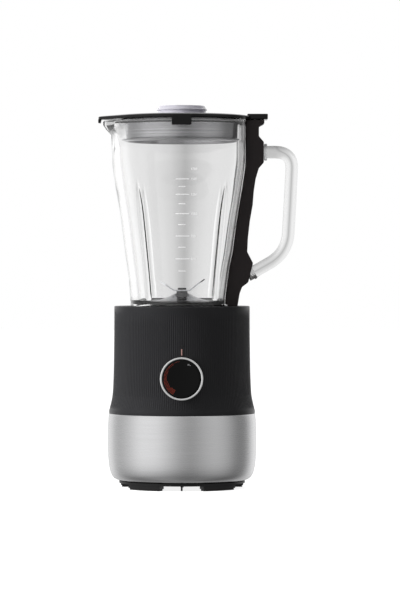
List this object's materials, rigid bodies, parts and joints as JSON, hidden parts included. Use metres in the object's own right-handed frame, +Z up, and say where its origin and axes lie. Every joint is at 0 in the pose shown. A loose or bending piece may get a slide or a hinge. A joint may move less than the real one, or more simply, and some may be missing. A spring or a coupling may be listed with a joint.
{
  "type": "countertop blender",
  "caption": "Countertop blender: fluted glass jug with a glass handle and a dark interlock strip on a ribbed black motor base with a brushed steel band and a front speed knob.",
  "frame": {"origin": "centre of the base, on the surface that its feet stand on", "axes": "+Z up along the motor's axis; the speed knob faces -Y; the jug's handle points to +X and its spout to -X"},
  "size_m": [0.2252, 0.1824, 0.4305],
  "materials": {
    "brushed_band": "brushed",
    "black_housing": "satin, ribbed",
    "black_base": "matt",
    "black_rubber": "matt",
    "zinc_screws": "zinc plated",
    "core_steel": "laminated",
    "copper_wire": "enamelled copper wire",
    "cast_bracket": "die cast",
    "bearing_steel": "ground",
    "brass_parts": "satin",
    "carbon": "matt",
    "circuit_board": "satin",
    "white_plastic": "satin",
    "blue_plastic": "satin",
    "coupling_rubber": "matt",
    "knob_black": "gloss",
    "knob_silver": "satin chrome",
    "red_light": "clear red",
    "jug_glass": "clear, polished",
    "black_collar": "satin",
    "strip_plastic": "satin",
    "blade_steel": "polished",
    "seal_grey": "matt",
    "lid_black": "gloss",
    "smoke_plastic": "clear smoked"
  },
  "bodies": {
    "base": {"steel_band": "brushed_band", "motor_housing": "black_housing", "pointer_window": "red_light", "base_plate": "black_base", "rubber_feet": "black_rubber", "base_screws": "zinc_screws", "motor_screws": "zinc_screws", "cord_grommet": "black_rubber", "seat_pads": "black_rubber", "motor_stator": "core_steel", "field_coils": "copper_wire", "upper_bracket": "cast_bracket", "lower_bracket": "cast_bracket", "upper_bearing": "bearing_steel", "lower_bearing": "bearing_steel", "brush_holders": "brass_parts", "carbon_brushes": "carbon", "motor_isolators": "black_rubber", "control_board": "circuit_board", "terminal_block": "white_plastic", "suppression_capacitor": "blue_plastic", "speed_encoder": "black_base", "interlock_switch": "black_base", "plunger_spring": "bearing_steel"},
    "rotor": {"motor_shaft": "bearing_steel", "armature_core": "core_steel", "armature_windings": "copper_wire", "commutator": "brass_parts", "cooling_fan": "white_plastic", "drive_coupling": "coupling_rubber"},
    "knob": {"knob_cap": "knob_black", "knob_ring": "knob_silver", "knob_shaft": "white_plastic"},
    "plunger": {"interlock_plunger": "white_plastic"},
    "jug": {"jug_glass": "jug_glass", "jug_collar": "black_collar", "strip_front": "strip_plastic", "strip_rear": "strip_plastic", "strip_screws": "zinc_screws", "rod_spring": "bearing_steel"},
    "blade_unit": {"blade_holder": "black_collar", "blade_dome": "blade_steel", "blade_seal": "seal_grey", "bearing_bush": "brass_parts"},
    "blades": {"blade_shaft": "blade_steel", "upper_blades": "blade_steel", "lower_blades": "blade_steel", "blade_washer": "blade_steel", "blade_nut": "blade_steel", "driven_coupling": "coupling_rubber"},
    "lid": {"lid_cover": "lid_black", "lid_plug": "smoke_plastic", "lid_seal": "seal_grey"},
    "cap": {"measuring_cap": "smoke_plastic"},
    "safety_rod": {"interlock_rod": "bearing_steel"}
  },
  "joints": [
    {"name": "rotor_spin", "type": "hinge", "parent": "base", "child": "rotor", "pos_m": [0, 0, 0.1], "axis": [0, 0, 1], "continuous": true},
    {"name": "knob_turn", "type": "hinge", "parent": "base", "child": "knob", "pos_m": [0, -0.0873, 0.1258], "axis": [0, 1, 0], "range_deg": [-35, 150]},
    {"name": "jug_lift", "type": "slide", "parent": "base", "child": "jug", "axis": [0, 0, 1], "range_m": [0, 0.15]},
    {"name": "plunger_travel", "type": "slide", "parent": "base", "child": "plunger", "axis": [0, 0, 1], "range_m": [0, 0.003], "deforming": ["plunger_spring"]},
    {"name": "blade_unit_twist", "type": "hinge", "parent": "jug", "child": "blade_unit", "pos_m": [0, 0, 0.195], "axis": [0, 0, 1], "range_deg": [0, 30]},
    {"name": "blades_spin", "type": "hinge", "parent": "jug", "child": "blades", "pos_m": [0, 0, 0.205], "axis": [0, 0, 1], "continuous": true},
    {"name": "lid_lift", "type": "slide", "parent": "jug", "child": "lid", "axis": [0, 0, 1], "range_m": [0, 0.1]},
    {"name": "cap_lift", "type": "slide", "parent": "lid", "child": "cap", "axis": [0, 0, 1], "range_m": [0, 0.08]},
    {"name": "rod_travel", "type": "slide", "parent": "jug", "child": "safety_rod", "axis": [0.1009, 0, 0.9949], "range_m": [0, 0.004], "deforming": ["rod_spring"]}
  ],
  "couplings": [
    {"joint": "blades_spin", "follows": "rotor_spin", "ratio": 1},
    {"joint": "plunger_travel", "follows": "jug_lift", "ratio": 0.02},
    {"joint": "rod_travel", "follows": "lid_lift", "ratio": 0.04}
  ]
}
